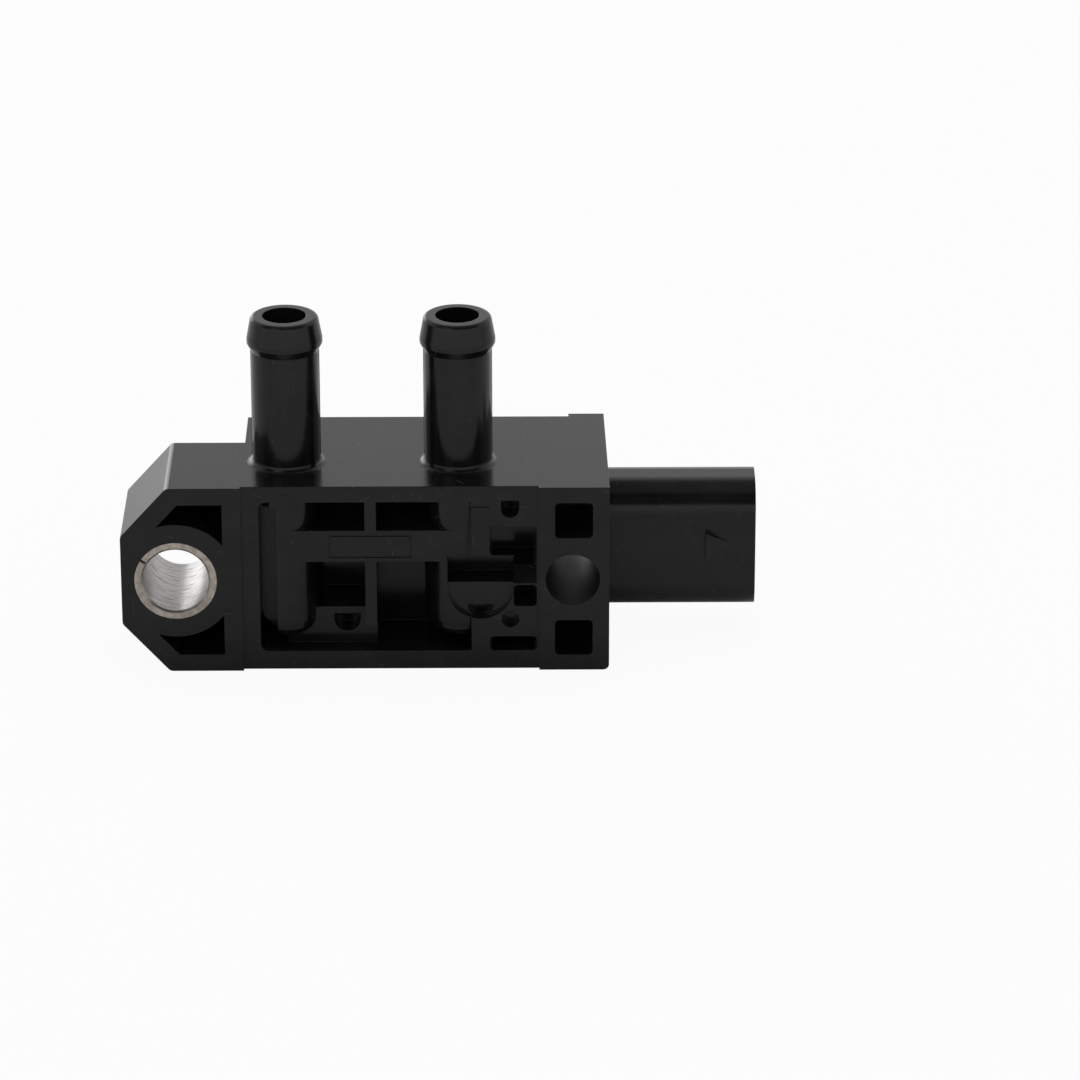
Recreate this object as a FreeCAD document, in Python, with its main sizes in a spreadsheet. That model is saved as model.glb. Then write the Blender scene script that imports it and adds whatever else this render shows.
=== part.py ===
"""Differential pressure sensor for a diesel particulate filter.

Millimetres. X runs from the mounting ear to the plug, Y from the cored front face to the rear cover, Z up.
The origin is the centre of the mounting bush on the front face of the ear. Every piece is drawn with Z = 0
on the underside of the body, and its Placement then lowers it by the height of the bush.
"""
import FreeCAD, Part
import math
import os
import re

import Sketcher

doc = FreeCAD.newDocument("pressure_sensor")

# The driving dimensions
SIZES = [
    # Mounting ear and its steel bush
    ("bush_height", 11.6, "bush axis above the underside"),
    ("bush_radius", 4.85, "outside of the bush"),
    ("bush_wall", 0.95, "rolled sheet of the bush"),
    ("bush_split", 0.3, "gap of the rolled seam"),
    ("bush_edge", 0.25, "chamfer inside both ends of the bush"),
    ("ear_reach", 6.4, "bush axis to the free side of the ear"),
    ("ear_depth", 14.4, "ear, front to back"),
    ("ear_bevel_across", 5.5, "bevelled ear corner, sideways"),
    ("ear_bevel_high", 6.1, "bevelled ear corner, upwards"),
    ("ear_rounding", 0.8, "rounding of the bevel's ends"),
    ("ear_boss_radius", 7.15, "solid ring of the ear round the bush"),
    ("ear_web", 2.1, "wall above and below the ear pockets"),
    ("ear_inner_wall", 2.2, "wall between ear pocket and body"),
    ("ear_bevel_wall", 4.25, "bevel wall of the ear pockets, sideways"),
    ("ear_pocket_depth", 11.5, "ear pockets"),
    # Body
    ("body_left", 7.8, "bush axis to the left side of the body"),
    ("body_length", 43.2, "body, left to right"),
    ("body_tall", 23.3, "body, bottom to top"),
    ("body_depth", 22.55, "front of the ear to the rear of the body"),
    ("face_set_back", 0.55, "cored face behind the front of the ear"),
    ("end_front_length", 8.25, "full-depth end block, measured at the front"),
    ("end_rear_length", 4.6, "full-depth end block, measured at the rear"),
    ("end_proud", 0.85, "end block beyond the rear of the body"),
    ("end_draft", 0.35, "end block narrower at the rear, for the mould"),
    ("edge_rounding", 0.7, "lower edges of the body ends"),
    # Cored front face
    ("core_side_wall", 2.05, "left wall of the cored face"),
    ("core_end_wall", 0.3, "cored face to the end block"),
    ("core_floor_wall", 2.3, "wall under the cored face"),
    ("core_roof_wall", 2.0, "wall above the cored face"),
    ("core_depth", 9.0, "cored windows"),
    ("core_corner", 0.9, "corners of the cored windows"),
    ("slot_width", 2.0, "slot beside the first tube"),
    ("slot_depth", 4.5, "slot beside the first tube"),
    ("tube_radius", 3.4, "half-round front of the pressure tubes"),
    ("tube_proud", 0.06, "crest of the tubes in front of the face"),
    ("tube_foot", 1.3, "underside of the tubes above the core floor"),
    ("tube_dome", 2.2, "rounding under the tubes"),
    ("channel_wall", 1.5, "wall of the pressure channels"),
    ("bar_low", 13.75, "underside of the marking bar"),
    ("bar_tall", 3.95, "marking bar, bottom to top"),
    ("field_left_gap", 5.05, "first channel axis to the framed field on the bar"),
    ("field_right_gap", 5.45, "framed field on the bar to the second channel axis"),
    ("field_margin", 0.5, "framed field to the bar's upper and lower edges"),
    ("field_line", 0.25, "width of the engraved frame line"),
    ("field_line_depth", 0.15, "depth of the engraved frame line"),
    ("rib_off_middle", 0.175, "upright rib left of the middle between the channels"),
    ("rib_thick", 1.35, "upright rib"),
    ("rib_foot", 3.2, "underside of the upright rib above the core floor"),
    ("plate_root", 0.5, "plates drawn into the back of the core"),
    ("ledge_set_back", 2.6, "low ledge behind the face"),
    ("ledge_high", 6.9, "top of the low ledge"),
    ("ledge_hole_place", 2.9, "middle of the hole in the ledge to the upright rib"),
    ("ledge_hole_width", 3.1, "hole in the ledge"),
    ("ledge_hole_top", 6.0, "flat top of the hole in the ledge"),
    ("ledge_hole_side", 0.7, "straight sides of the hole in the ledge"),
    ("ledge_hole_depth", 3.0, "hole in the ledge"),
    ("cup_place", 2.6, "second channel axis to the middle of the cup"),
    ("cup_height", 10.3, "middle of the cup above the underside"),
    ("cup_radius", 3.9, "round recess of the cup"),
    ("cup_step", 0.8, "depth of the cup's half-round floor"),
    ("cup_well", 4.2, "depth of the cup's upper half"),
    ("cup_top", 4.1, "top of the cup above its middle"),
    ("cup_shelf", 0.5, "straight edge of the floor above the middle"),
    ("cup_mark_drop", 2.4, "middle of the cup to the flat top of its ejector mark"),
    ("cup_mark_width", 3.05, "ejector mark in the cup"),
    ("cup_mark_side", 0.15, "straight sides of the ejector mark"),
    ("cup_mark_depth", 1.2, "ejector mark, below the cup's floor"),
    ("stem_width", 2.2, "upright stem under and above the cup"),
    ("valley_width", 0.75, "valley between the second tube and the column"),
    ("valley_low", 12.6, "foot of the valley above the underside"),
    ("valley_middle", 18.4, "where the valley narrows"),
    ("valley_high", 20.6, "upper end of the valley"),
    ("valley_depth", 2.4, "valley between the second tube and the column"),
    ("window_width", 5.5, "windows beside the end block"),
    ("upper_window_low", 12.75, "lower edge of the upper window"),
    ("upper_window_high", 18.2, "upper edge of the upper window"),
    ("upper_window_depth", 6.5, "upper window"),
    ("small_window_width", 2.7, "small window"),
    ("small_window_low", 8.0, "lower edge of the small window"),
    ("small_window_high", 10.7, "upper edge of the small window"),
    ("foot_window_high", 4.1, "upper edge of the foot window"),
    ("side_window_depth", 5.0, "small window and foot window"),
    ("shelf_slope", 1.5, "sloped shelf under the upper window, front to back"),
    ("shelf_rib", 0.2, "front edge of the shelf above the small window"),
    ("pad_hole_drop", 1.85, "flat top of the pad's hole under the top of the body"),
    ("pad_hole_width", 2.1, "hole in the corner pad"),
    ("pad_hole_side", 1.1, "straight sides of the hole in the corner pad"),
    ("pad_hole_depth", 3.0, "hole in the corner pad"),
    ("pin_mark_height", 6.3, "round ejector mark above the underside"),
    ("pin_mark_radius", 1.05, "round ejector mark"),
    ("pin_mark_depth", 1.5, "round ejector mark"),
    ("mark_inset", 3.1, "corner pad's hole and ejector mark to the right of the core"),
    # End block pockets
    ("pocket_width", 4.45, "square pockets of the end block"),
    ("pocket_inset", 1.95, "square pockets to the end block's edges"),
    ("pocket_depth", 10.3, "square pockets"),
    ("pocket_corner", 0.5, "corners of the square pockets"),
    ("locator_radius", 3.2, "round locating hole"),
    ("locator_inset", 4.3, "locating hole to the right side of the body"),
    ("locator_wall", 1.0, "locating hole to the rear cover's rebate"),
    # Hose nipples
    ("nipple_place", 13.0, "bush axis to the first nipple"),
    ("nipple_inset", 17.75, "second nipple to the right side of the body"),
    ("nipple_depth", 8.6, "front of the ear to the nipple axes"),
    ("nipple_tall", 18.35, "nipples above the body"),
    ("nipple_radius", 4.0, "plain part of the nipples"),
    ("nipple_bore", 2.6, "radius of the pressure channels"),
    ("barb_radius", 4.45, "crest of the barb"),
    ("barb_crest", 0.5, "width of the blunt crest"),
    ("barb_tall", 4.1, "barb, back edge to tip"),
    ("barb_back", 0.9, "return slope of the barb"),
    ("tip_radius", 4.05, "barb at the tip"),
    ("tip_rounding", 0.5, "edge of the tip"),
    ("foot_rounding", 0.7, "fillet round the foot of the nipples"),
    ("channel_end", 9.4, "bottom of the pressure channels above the underside"),
    ("port_width", 4.4, "square port from the first channel into the chamber"),
    ("port_radius", 1.2, "round port from the second channel to the back of the die"),
    # Plug shroud
    ("shroud_length", 17.55, "plug shroud beyond the body"),
    ("shroud_low", 3.4, "underside of the shroud above the underside"),
    ("shroud_tall", 16.0, "shroud, bottom to top"),
    ("shroud_front", 9.3, "front of the ear to the front of the shroud"),
    ("shroud_thick", 9.3, "shroud, front to back"),
    ("shroud_corner", 3.4, "outer corners of the shroud"),
    ("shroud_wall", 1.3, "wall of the shroud"),
    ("shroud_root", 1.0, "shroud drawn from inside the end block"),
    ("socket_depth", 15.4, "open socket of the shroud"),
    ("latch_place", 11.6, "body to the upright face of the latch ramp"),
    ("latch_low", 10.2, "foot of the latch ramp above the underside"),
    ("latch_point", 2.1, "foot of the latch ramp to its point"),
    ("latch_length", 2.9, "latch ramp, along the plug"),
    ("latch_width", 3.6, "latch ramp, bottom to top"),
    ("latch_proud", 0.9, "latch ramp in front of the shroud"),
    # Electronics chamber and cover
    ("cover_thick", 1.6, "rear cover"),
    ("cover_seal_thick", 0.35, "adhesive under the rear cover"),
    ("cover_clearance", 0.15, "rear cover to its rebate"),
    ("cover_rim", 1.15, "rim of the body round the rear cover"),
    ("cover_corner", 1.6, "corners of the rear cover"),
    ("cover_land", 1.4, "land that carries the rear cover"),
    # Terminals
    ("blade_thick", 0.6, "terminal blades"),
    ("blade_width", 1.5, "terminal blades"),
    ("blade_pitch", 3.6, "terminal blades"),
    ("blade_reach", 9.6, "blade tips beyond the socket floor"),
    ("blade_tip", 0.9, "tapered length of the blade tips"),
    ("lead_foot", 3.0, "inner ends of the leads in the chamber"),
    ("lead_width", 1.0, "leads between the blades and the board"),
    ("ground_lead_drop", 4.1, "middle of the plug to the ground lead"),
    ("signal_lead_rise", 4.4, "middle of the plug to the signal lead, over the locating hole"),
    ("supply_lead_rise", 6.4, "middle of the plug to the supply lead"),
    ("ground_bend", 1.0, "socket floor to the bend of the ground lead"),
    ("signal_bend", 2.2, "socket floor to the bend of the signal lead"),
    ("supply_bend", 0.7, "socket floor to the bend of the supply lead"),
    ("joint_thick", 0.3, "solder under the blades"),
    ("joint_length", 1.8, "solder joints"),
    ("joint_inset", 0.1, "ends of the leads beyond the solder"),
    # Board and what it carries
    ("board_thick", 0.8, "circuit board"),
    ("board_port_gap", 3.85, "first channel axis to the left edge of the circuit board"),
    ("board_side_gap", 1.8, "circuit board to the sides of the chamber"),
    ("board_gap", 1.6, "circuit board to the plug end of the chamber"),
    ("board_seal_thick", 0.25, "bonding sheet under the board"),
    ("board_seal_inset", 0.4, "bonding sheet behind the edge of the board"),
    ("board_port", 0.9, "radius of the port in the board"),
    ("die_width", 3.0, "pressure die and its pedestal"),
    ("die_thick", 0.4, "pressure die"),
    ("membrane_width", 1.4, "etched hollow behind the membrane"),
    ("membrane_thick", 0.08, "membrane"),
    ("pedestal_tall", 1.3, "glass pedestal"),
    ("pedestal_port", 0.5, "radius of the port in the pedestal"),
    ("dam_radius", 4.1, "outside of the gel dam"),
    ("dam_wall", 0.6, "gel dam"),
    ("dam_tall", 2.8, "gel dam"),
    ("gel_below", 0.4, "gel surface below the top of the dam"),
    ("chip_length", 5.0, "signal chip"),
    ("chip_width", 4.4, "signal chip"),
    ("chip_thick", 1.2, "signal chip"),
    ("part_length", 1.6, "chip capacitors and resistors"),
    ("part_width", 0.8, "chip capacitors and resistors"),
    ("part_edge_gap", 1.4, "left edge of the board to the resistors"),
    ("part_dam_gap", 1.8, "left ends of the capacitors beside the dam to the dam"),
    ("capacitor_thick", 0.8, "chip capacitors"),
    ("resistor_thick", 0.45, "chip resistors"),
]

sheet = doc.addObject("Spreadsheet::Sheet", "Sizes")
for row, (alias, value, meaning) in enumerate(SIZES, start=1):
    sheet.set(f"A{row}", meaning)
    sheet.set(f"B{row}", str(value))
    sheet.setAlias(f"B{row}", alias)
doc.recompute()
ALIASES = {alias for alias, value, meaning in SIZES}

# Places worked out from the driving dimensions, as expressions on the sheet
BODY_RIGHT = "(body_left + body_length)"
END_LEFT = f"({BODY_RIGHT} - end_front_length)"
CORE_LEFT = "(body_left + core_side_wall)"
CORE_RIGHT = f"({END_LEFT} - core_end_wall)"
CORE_TOP = "(body_tall - core_roof_wall)"
FIRST_CHANNEL = "nipple_place"
SECOND_CHANNEL = f"({BODY_RIGHT} - nipple_inset)"
TUBE_AXIS = "(face_set_back + tube_radius - tube_proud)"
BAR_HIGH = "(bar_low + bar_tall)"
RIB_AXIS = f"(({FIRST_CHANNEL} + {SECOND_CHANNEL}) / 2 - rib_off_middle)"
CUP_AXIS = f"({SECOND_CHANNEL} + cup_place)"
LOCATOR_AXIS = f"({BODY_RIGHT} - locator_inset)"
STEM_LEFT = f"({CUP_AXIS} - stem_width / 2)"
WINDOW_LEFT = f"({CORE_RIGHT} - window_width)"
SMALL_LEFT = f"({CORE_RIGHT} - small_window_width)"
MARK_AXIS = f"({CORE_RIGHT} - mark_inset)"
BLADE_FRONT = "(shroud_front + shroud_thick / 2 - blade_thick / 2)"
BLADE_MIDDLE = "(shroud_low + shroud_tall / 2)"
BOARD_FACE = f"({BLADE_FRONT} - joint_thick)"
CHAMBER_FLOOR = f"({BOARD_FACE} - board_thick - board_seal_thick)"
REBATE_FLOOR = "(body_depth - cover_thick - cover_seal_thick)"
REBATE_LEFT = "(body_left + cover_rim)"
REBATE_RIGHT = f"({LOCATOR_AXIS} - locator_radius - locator_wall)"
REBATE_TOP = "(body_tall - cover_rim)"
CHAMBER_LEFT = f"({REBATE_LEFT} + cover_land)"
CHAMBER_RIGHT = f"({REBATE_RIGHT} - cover_land)"
CHAMBER_LOW = "(cover_rim + cover_land)"
CHAMBER_TOP = "(body_tall - cover_rim - cover_land)"
SOCKET_FLOOR = f"({BODY_RIGHT} + shroud_length - socket_depth)"
BOARD_RIGHT = f"({CHAMBER_RIGHT} - board_gap)"
BOARD_LEFT = f"({FIRST_CHANNEL} + board_port_gap)"
BOARD_LENGTH = f"({BOARD_RIGHT} - {BOARD_LEFT})"
BOARD_LOW = f"({CHAMBER_LOW} + board_side_gap)"
BOARD_TALL = f"({CHAMBER_TOP} - {CHAMBER_LOW} - 2 * board_side_gap)"
PORT_HEIGHT = "(body_tall / 2)"


def bound(text):
    """The same expression with every alias read from the sheet."""
    return re.sub(r"[a-z_]+[a-z]", lambda word: "Sizes." + word[0] if word[0] in ALIASES else word[0], text)


def number(text):
    return float(sheet.evalExpression(bound(text)))


def bind(thing, **expressions):
    """Tie properties to the sheet. A double underscore in a name stands for a dot."""
    for name, text in expressions.items():
        thing.setExpression(name.replace("__", "."), bound(text))
    return thing


def new_body(label):
    body = doc.addObject("PartDesign::Body", label)
    body.Label = label
    bind(body, Placement__Base__z="-bush_height")
    return body


def new_sketch(body, name, plane="XZ", offset="0"):
    """A sketch parallel to one of the body's own planes, at a distance along +X, +Y or +Z."""
    sketch = body.newObject("Sketcher::SketchObject", name)
    origin = next(feature for feature in body.Origin.OriginFeatures if feature.Role == plane + "_Plane")
    sketch.AttachmentSupport = (origin, "")
    sketch.MapMode = "FlatFace"
    bind(sketch, AttachmentOffset__Base__z=f"-({offset})" if plane == "XZ" else offset)
    return sketch


def pin_point(sketch, edge, end, across, up):
    """Hold one end of an edge at a place in the sketch."""
    for kind, text in (("DistanceX", across), ("DistanceY", up)):
        index = sketch.addConstraint(Sketcher.Constraint(kind, -1, 1, edge, end, number(text)))
        sketch.setExpression(f"Constraints[{index}]", bound(text))


def outline(sketch, corners):
    """A closed outline of straight lines through the corners, each a pair of expressions."""
    points = [FreeCAD.Vector(number(across), number(up), 0) for across, up in corners]
    first = sketch.GeometryCount
    for start, end in zip(points, points[1:] + points[:1]):
        sketch.addGeometry(Part.LineSegment(start, end), False)
    count = len(points)
    for side in range(count):
        sketch.addConstraint(Sketcher.Constraint("Coincident", first + side, 2, first + (side + 1) % count, 1))
        pin_point(sketch, first + side, 1, *corners[side])
    return sketch


def quarter(across, up, side, rise, radius):
    """Points of a quarter round in the corner at (across, up), which opens towards side and rise."""
    steps = ((1, 0), (0.617, 0.076), (0.293, 0.293), (0.076, 0.617), (0, 1))
    return [(f"{across} + {side * near_} * {radius}", f"{up} + {rise * far_} * {radius}") for near_, far_ in steps]


def round_hole(sketch, across, up, radius):
    place = FreeCAD.Vector(number(across), number(up), 0)
    edge = sketch.addGeometry(Part.Circle(place, FreeCAD.Vector(0, 0, 1), number(radius)), False)
    pin_point(sketch, edge, 3, across, up)
    index = sketch.addConstraint(Sketcher.Constraint("Radius", edge, number(radius)))
    sketch.setExpression(f"Constraints[{index}]", bound(radius))
    return sketch


def rounded_box(sketch, left, right, low, high, corner):
    """A rectangle with rounded corners: four lines tangent to four arcs."""
    x_low, x_high, y_low, y_high, r = (number(text) for text in (left, right, low, high, corner))
    turns = [(x_high - r, y_low + r, -90), (x_high - r, y_high - r, 0),
             (x_low + r, y_high - r, 90), (x_low + r, y_low + r, 180)]
    first = sketch.GeometryCount
    arcs = []
    for centre_x, centre_y, start in turns:
        circle = Part.Circle(FreeCAD.Vector(centre_x, centre_y, 0), FreeCAD.Vector(0, 0, 1), r)
        arcs.append(Part.ArcOfCircle(circle, math.radians(start), math.radians(start + 90)))
    for arc in arcs:
        sketch.addGeometry(arc, False)
    for arc, following in zip(arcs, arcs[1:] + arcs[:1]):
        sketch.addGeometry(Part.LineSegment(arc.EndPoint, following.StartPoint), False)
    for turn in range(4):
        line = first + 4 + turn
        sketch.addConstraint(Sketcher.Constraint("Tangent", first + turn, 2, line, 1))
        sketch.addConstraint(Sketcher.Constraint("Tangent", line, 2, first + (turn + 1) % 4, 1))
        sketch.addConstraint(Sketcher.Constraint("Vertical" if turn % 2 == 0 else "Horizontal", line))
    for turn in range(1, 4):
        sketch.addConstraint(Sketcher.Constraint("Equal", first, first + turn))
    index = sketch.addConstraint(Sketcher.Constraint("Radius", first, r))
    sketch.setExpression(f"Constraints[{index}]", bound(corner))
    sides = [("DistanceX", 0, right), ("DistanceY", 1, high), ("DistanceX", 2, left), ("DistanceY", 3, low)]
    for kind, turn, text in sides:
        index = sketch.addConstraint(Sketcher.Constraint(kind, -1, 1, first + 4 + turn, 1, number(text)))
        sketch.setExpression(f"Constraints[{index}]", bound(text))
    return sketch


def raise_from(body, sketch, length, name, reverse=False):
    """A pad. On an XZ sketch it grows towards the rear only when reversed."""
    pad = body.newObject("PartDesign::Pad", name)
    pad.Profile = sketch
    pad.Reversed = reverse
    bind(pad, Length=length)
    return pad


def cut_from(body, sketch, length, name, reverse=False):
    """A pocket. On an XZ sketch it cuts towards the rear unless reversed."""
    pocket = body.newObject("PartDesign::Pocket", name)
    pocket.Profile = sketch
    pocket.Reversed = reverse
    bind(pocket, Length=length)
    return pocket


def spin(body, sketch, name):
    """A revolution about the sketch's own construction line."""
    turn = body.newObject("PartDesign::Revolution", name)
    turn.Profile = sketch
    turn.ReferenceAxis = (sketch, ["Axis0"])
    turn.Angle = 360
    return turn


def spin_axis(sketch, across):
    """The upright construction line that a profile turns about."""
    line = Part.LineSegment(FreeCAD.Vector(number(across), 0, 0), FreeCAD.Vector(number(across), number("body_tall"), 0))
    edge = sketch.addGeometry(line, True)
    pin_point(sketch, edge, 1, across, "0")
    pin_point(sketch, edge, 2, across, "body_tall")


def round_edges(body, base, radius, name, wanted):
    """A fillet on the edges of the last shape that the test picks."""
    doc.recompute()
    names = [f"Edge{index}" for index, edge in enumerate(base.Shape.Edges, start=1) if wanted(edge)]
    fillet = body.newObject("PartDesign::Fillet", name)
    fillet.Base = (base, names)
    bind(fillet, Radius=radius)
    return fillet


def near(value, target):
    return abs(value - target) < 0.01


# Housing: the ear, the body and its end block
housing = new_body("housing")

ear = new_sketch(housing, "ear_outline")
outline(ear, [
    ("-ear_reach", "ear_bevel_high"),
    ("ear_bevel_across - ear_reach", "0"),
    ("body_left", "0"),
    ("body_left", "body_tall"),
    ("ear_bevel_across - ear_reach", "body_tall"),
    ("-ear_reach", "body_tall - ear_bevel_high"),
])
ear_pad = raise_from(housing, ear, "ear_depth", "ear", reverse=True)


def is_bevel_end(edge):
    ends = [vertex.Point for vertex in edge.Vertexes]
    runs_back = len(ends) == 2 and near(ends[0].x, ends[1].x) and near(ends[0].z, ends[1].z)
    return runs_back and ends[0].x < number("ear_bevel_across - ear_reach") + 0.01


ear_round = round_edges(housing, ear_pad, "ear_rounding", "ear_corners", is_bevel_end)

body_plan = new_sketch(housing, "body_plan", "XY")
outline(body_plan, [
    ("body_left", "face_set_back"),
    (END_LEFT, "face_set_back"),
    (END_LEFT, "0"),
    (BODY_RIGHT, "0"),
    (f"{BODY_RIGHT} - end_draft", "body_depth + end_proud"),
    (f"{BODY_RIGHT} - end_rear_length", "body_depth + end_proud"),
    (f"{BODY_RIGHT} - end_rear_length", "body_depth"),
    ("body_left", "body_depth"),
])
body_pad = raise_from(housing, body_plan, "body_tall", "body")


def is_low_right(edge):
    ends = [vertex.Point for vertex in edge.Vertexes]
    right = number(f"{BODY_RIGHT} - end_draft") - 0.01
    return len(ends) == 2 and all(end.x > right and near(end.z, 0) for end in ends)


body_round = round_edges(housing, body_pad, "edge_rounding", "body_lower_edge", is_low_right)

# Housing: the plug shroud with its socket and latch ramp
SHROUD_TOP = "(shroud_low + shroud_tall)"
SHROUD_REAR = "(shroud_front + shroud_thick)"
shroud = new_sketch(housing, "shroud_section", "YZ", f"{BODY_RIGHT} - shroud_root")
rounded_box(shroud, "shroud_front", SHROUD_REAR, "shroud_low", SHROUD_TOP, "shroud_corner")
raise_from(housing, shroud, "shroud_length + shroud_root", "shroud")
LATCH_LEFT = f"({BODY_RIGHT} + latch_place)"
LATCH_POINT = f"({BODY_RIGHT} + latch_place + latch_length)"
latch = new_sketch(housing, "latch_outline", offset="shroud_front - latch_proud")
outline(latch, [(LATCH_LEFT, "latch_low"), (LATCH_POINT, "latch_low + latch_point"),
                (LATCH_LEFT, "latch_low + latch_width")])
raise_from(housing, latch, "latch_proud + shroud_wall / 2", "latch_block", reverse=True)
slope = new_sketch(housing, "latch_slope", "XY", "latch_low")
outline(slope, [(LATCH_LEFT, "shroud_front - latch_proud"), (LATCH_POINT, "shroud_front - latch_proud"),
                (LATCH_POINT, "shroud_front")])
cut_from(housing, slope, "latch_width", "latch_ramp", reverse=True)
socket = new_sketch(housing, "socket_section", "YZ", f"{BODY_RIGHT} + shroud_length")
rounded_box(socket, "shroud_front + shroud_wall", f"{SHROUD_REAR} - shroud_wall", "shroud_low + shroud_wall",
            f"{SHROUD_TOP} - shroud_wall", "shroud_corner - shroud_wall")
cut_from(housing, socket, "socket_depth", "socket")

# Housing: the bush seat and the two pockets of the ear
seat = round_hole(new_sketch(housing, "bush_seat_section"), "0", "bush_height", "bush_radius")
cut_from(housing, seat, "ear_depth", "bush_seat")
EAR_INNER = "(body_left - ear_inner_wall)"
RING = "ear_boss_radius"


def ear_pocket(name, upwards):
    """One ear pocket: three straight walls and an arc concentric with the bush."""
    sketch = new_sketch(housing, name + "_outline")
    ring = number(RING)
    height = number("bush_height")
    edge = number("body_tall - ear_web") if upwards else number("ear_web")
    inner = number(EAR_INNER)
    bevel = number("ear_bevel_wall - ear_reach")
    sign = 1 if upwards else -1
    foot = FreeCAD.Vector(bevel, height + sign * math.sqrt(ring ** 2 - bevel ** 2), 0)
    far = FreeCAD.Vector(inner, height + sign * math.sqrt(ring ** 2 - inner ** 2), 0)
    slope = number("ear_bevel_across") / number("ear_bevel_high")
    top = FreeCAD.Vector(bevel + abs(edge - foot.y) * slope, edge, 0)
    corner = FreeCAD.Vector(inner, edge, 0)
    angle_foot = math.atan2(foot.y - height, foot.x)
    angle_far = math.atan2(far.y - height, far.x)
    circle = Part.Circle(FreeCAD.Vector(0, height, 0), FreeCAD.Vector(0, 0, 1), ring)
    low, high = sorted((angle_foot, angle_far))
    sketch.addGeometry(Part.ArcOfCircle(circle, low, high), False)
    for start, end in ((foot, top), (top, corner), (corner, far)):
        sketch.addGeometry(Part.LineSegment(start, end), False)
    foot_end, far_end = (2, 1) if upwards else (1, 2)
    sketch.addConstraint(Sketcher.Constraint("Coincident", 0, foot_end, 1, 1))
    sketch.addConstraint(Sketcher.Constraint("Coincident", 1, 2, 2, 1))
    sketch.addConstraint(Sketcher.Constraint("Coincident", 2, 2, 3, 1))
    sketch.addConstraint(Sketcher.Constraint("Coincident", 3, 2, 0, far_end))
    pin_point(sketch, 0, 3, "0", "bush_height")
    index = sketch.addConstraint(Sketcher.Constraint("Radius", 0, ring))
    sketch.setExpression(f"Constraints[{index}]", bound(RING))
    pin_point(sketch, 2, 2, EAR_INNER, "body_tall - ear_web" if upwards else "ear_web")
    sketch.addConstraint(Sketcher.Constraint("Horizontal", 2))
    sketch.addConstraint(Sketcher.Constraint("Vertical", 3))
    index = sketch.addConstraint(Sketcher.Constraint("DistanceX", -1, 1, 1, 1, bevel))
    sketch.setExpression(f"Constraints[{index}]", bound("ear_bevel_wall - ear_reach"))
    index = sketch.addConstraint(Sketcher.Constraint("DistanceX", -1, 1, 1, 2, top.x))
    root = "sqrt(ear_boss_radius ^ 2 - (ear_bevel_wall - ear_reach) ^ 2)"
    rise = f"body_tall - ear_web - bush_height - {root}" if upwards else f"bush_height - ear_web - {root}"
    sketch.setExpression(
        f"Constraints[{index}]",
        bound(f"ear_bevel_wall - ear_reach + ({rise}) * ear_bevel_across / ear_bevel_high"))
    cut_from(housing, sketch, "ear_pocket_depth", name)


ear_pocket("upper_ear_pocket", upwards=True)
ear_pocket("lower_ear_pocket", upwards=False)

# Housing: the cored face, hollowed out and then filled again with its tubes, ribs and plates
FACE = "face_set_back"
core = new_sketch(housing, "core_outline", offset=FACE)
rounded_box(core, CORE_LEFT, CORE_RIGHT, "core_floor_wall", CORE_TOP, "core_corner")
cut_from(housing, core, "core_depth", "core")

CORE_FLOOR = f"({FACE} + core_depth)"
TUBE_LOW = "(core_floor_wall + tube_foot)"
for number_word, axis in (("first", FIRST_CHANNEL), ("second", SECOND_CHANNEL)):
    tube = new_sketch(housing, number_word + "_tube_profile", offset=TUBE_AXIS)
    spin_axis(tube, axis)
    outline(tube, [
        (axis, TUBE_LOW),
        *quarter(f"{axis} + tube_radius", TUBE_LOW, -1, 1, "tube_dome"),
        (f"{axis} + tube_radius", f"{CORE_TOP} + core_roof_wall / 2"),
        (axis, f"{CORE_TOP} + core_roof_wall / 2"),
    ])
    spin(housing, tube, number_word + "_tube")
    channel = new_sketch(housing, number_word + "_channel_section", "XY", TUBE_LOW)
    round_hole(channel, axis, "nipple_depth", "nipple_bore + channel_wall")
    raise_from(housing, channel, f"body_tall - {TUBE_LOW} - core_roof_wall / 2", number_word + "_channel_tube")

plates = {
    "marking_bar": (FIRST_CHANNEL, SECOND_CHANNEL, "bar_low", BAR_HIGH, FACE),
    "upright_rib": (f"{RIB_AXIS} - rib_thick / 2", f"{RIB_AXIS} + rib_thick / 2",
                    "core_floor_wall + rib_foot", f"{CORE_TOP} + core_roof_wall / 2", FACE),
    "low_ledge": (FIRST_CHANNEL, f"{RIB_AXIS} + rib_thick / 2", "core_floor_wall / 2", "ledge_high",
                  f"{FACE} + ledge_set_back"),
    "right_plate": (STEM_LEFT, f"{CORE_RIGHT} + core_end_wall / 2", "core_floor_wall / 2",
                    f"{CORE_TOP} + core_roof_wall / 2", FACE),
}
for name, (left, right, low, high, front) in plates.items():
    plate = new_sketch(housing, name + "_outline", offset=front)
    outline(plate, [(left, low), (right, low), (right, high), (left, high)])
    raise_from(housing, plate, f"{CORE_FLOOR} - {front} + plate_root", name, reverse=True)

SLOT_RIGHT = f"({CORE_LEFT} + slot_width)"
slot = new_sketch(housing, "slot_outline", offset=FACE)
outline(slot, [(CORE_LEFT, f"core_floor_wall + core_corner"), (SLOT_RIGHT, "core_floor_wall + core_corner"),
               (SLOT_RIGHT, f"{CORE_TOP} - core_corner"), (CORE_LEFT, f"{CORE_TOP} - core_corner")])
cut_from(housing, slot, "slot_depth", "slot")

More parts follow.
